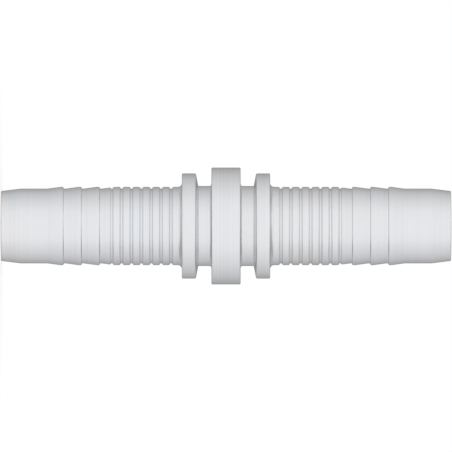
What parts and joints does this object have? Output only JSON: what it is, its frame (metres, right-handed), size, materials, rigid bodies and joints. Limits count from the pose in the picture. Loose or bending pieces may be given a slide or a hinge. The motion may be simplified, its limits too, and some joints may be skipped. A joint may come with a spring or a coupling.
{
  "type": "crimp hose fitting",
  "caption": "Turned steel joiner for crimped hose: a barbed tail, a locking flange and a ferrule groove on each side of a plain round collar, with a straight through bore.",
  "frame": {"origin": "centre of the lower end face, on the surface that the fitting stands on", "axes": "+Z along the bore, from the lower hose tail through the collar to the upper one; the fitting is round about Z, so X and Y are any two square directions"},
  "size_m": [0.02, 0.02, 0.077],
  "materials": {
    "zinc_plated_steel": "satin, bright zinc plate over fine turning lines"
  },
  "bodies": {
    "root": {"hose_joiner": "zinc_plated_steel"}
  },
  "joints": []
}
